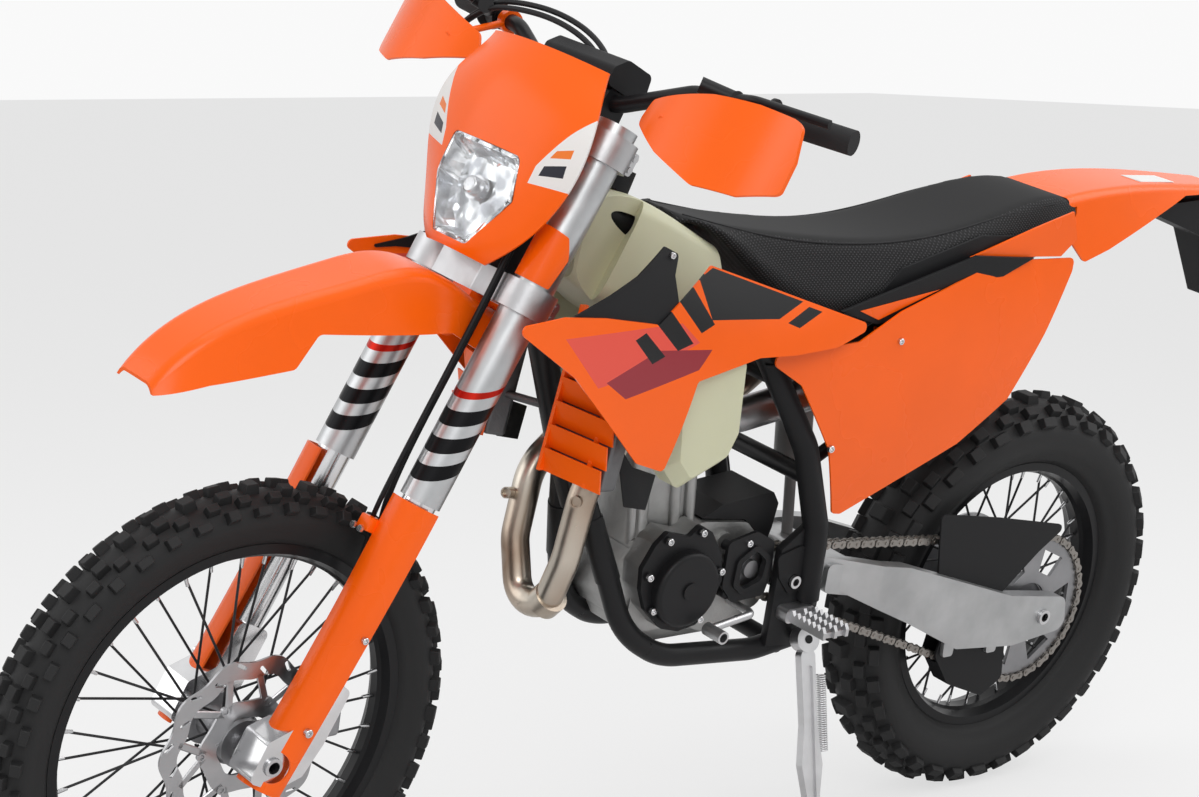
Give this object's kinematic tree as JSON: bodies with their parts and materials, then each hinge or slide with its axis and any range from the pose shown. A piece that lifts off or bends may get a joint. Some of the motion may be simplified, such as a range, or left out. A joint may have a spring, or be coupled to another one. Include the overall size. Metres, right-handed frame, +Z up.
{
  "type": "enduro motorcycle",
  "caption": "Off-road enduro motorcycle with spoked wheels, long-travel fork, side stand, single-cylinder engine and moulded plastic bodywork.",
  "frame": {"origin": "on the ground, at the middle of the part's length and width, with the bike leaning on its side stand", "axes": "+X forward along the bike, +Y to the rider's left, +Z up"},
  "size_m": [2.2576, 0.8148, 1.3381],
  "materials": {
    "tyre_rubber": "matte knobbed",
    "rim_black": "satin anodised",
    "spoke_steel": "black wire",
    "hub_metal": "satin cast",
    "disc_steel": "brushed",
    "sprocket_metal": "machined",
    "chain_steel": "oiled",
    "axle_steel": "machined",
    "tube_outer": "anodised grey",
    "tube_inner": "polished",
    "clamp_metal": "anodised dark",
    "bar_metal": "anodised black",
    "grip_rubber": "ribbed",
    "plastic_orange": "moulded",
    "plastic_black": "moulded",
    "lens_glass": "clear",
    "seat_cover": "gripper cloth",
    "frame_paint": "powder coat",
    "subframe_metal": "satin",
    "swingarm_metal": "satin cast",
    "engine_metal": "cast",
    "cover_dark": "satin",
    "header_steel": "heat tinted",
    "muffler_metal": "brushed",
    "radiator_metal": "finned",
    "tank_plastic": "translucent",
    "control_metal": "forged",
    "stand_metal": "forged",
    "caliper_metal": "hard anodised",
    "hose_black": "smooth",
    "shock_paint": "satin"
  },
  "bodies": {
    "chassis": {"airbox": "plastic_black", "chain_guide": "plastic_black", "clutch_cover": "cover_dark", "crankcase": "engine_metal", "cylinder": "engine_metal", "cylinder_head": "engine_metal", "drive_chain": "chain_steel", "exhaust_header": "header_steel", "foot_controls": "control_metal", "footpegs": "control_metal", "frame_guards": "plastic_black", "front_sprocket": "sprocket_metal", "fuel_tank": "tank_plastic", "ignition_cover": "cover_dark", "main_frame": "frame_paint", "muffler": "muffler_metal", "plate_holder": "plastic_black", "radiator_guards": "plastic_orange", "radiators": "radiator_metal", "rear_axle": "axle_steel", "rear_caliper": "caliper_metal", "rear_fender": "plastic_orange", "rear_shock": "shock_paint", "seat": "seat_cover", "shroud_flaps": "plastic_black", "shrouds": "plastic_orange", "side_panels": "plastic_orange", "sprocket_cover": "cover_dark", "subframe": "subframe_metal", "swingarm": "swingarm_metal", "swingarm_pivot": "axle_steel", "tank_cap": "plastic_black", "throttle_body": "control_metal"},
    "steering": {"fork_outer_tubes": "tube_outer", "fork_lowers": "tube_inner", "fork_guards": "plastic_orange", "triple_clamps": "clamp_metal", "handlebar": "bar_metal", "grips": "grip_rubber", "hand_levers": "control_metal", "bar_pad": "plastic_black", "hand_guards": "plastic_orange", "front_fender": "plastic_orange", "headlamp_mask": "plastic_orange", "headlamp": "lens_glass", "front_caliper": "caliper_metal", "front_brake_hose": "hose_black", "front_axle": "axle_steel"},
    "front_wheel": {"front_tyre": "tyre_rubber", "front_rim": "rim_black", "front_spokes": "spoke_steel", "front_hub": "hub_metal", "front_disc": "disc_steel"},
    "rear_wheel": {"rear_tyre": "tyre_rubber", "rear_rim": "rim_black", "rear_spokes": "spoke_steel", "rear_hub": "hub_metal", "rear_disc": "disc_steel", "rear_sprocket": "sprocket_metal"},
    "stand": {"side_stand": "stand_metal"}
  },
  "joints": [
    {"name": "steering_head", "type": "hinge", "parent": "chassis", "child": "steering", "pos_m": [0.39497, -0.0422, 0.98538], "axis": [-0.4399, 0.1766, 0.8805], "range_deg": [-47.5, 42.5]},
    {"name": "front_wheel_spin", "type": "hinge", "parent": "steering", "child": "front_wheel", "pos_m": [0.77781, -0.16797, 0.34558], "axis": [-0.0392, 0.9758, -0.2153], "continuous": true},
    {"name": "rear_wheel_spin", "type": "hinge", "parent": "chassis", "child": "rear_wheel", "pos_m": [-0.71103, -0.1707, 0.34463], "axis": [0, 0.9805, -0.1966], "continuous": true},
    {"name": "stand_pivot", "type": "hinge", "parent": "chassis", "child": "stand", "pos_m": [-0.15303, -0.02821, 0.36349], "axis": [0.1392, 0.9748, 0.1745], "range_deg": [0, 95]}
  ]
}
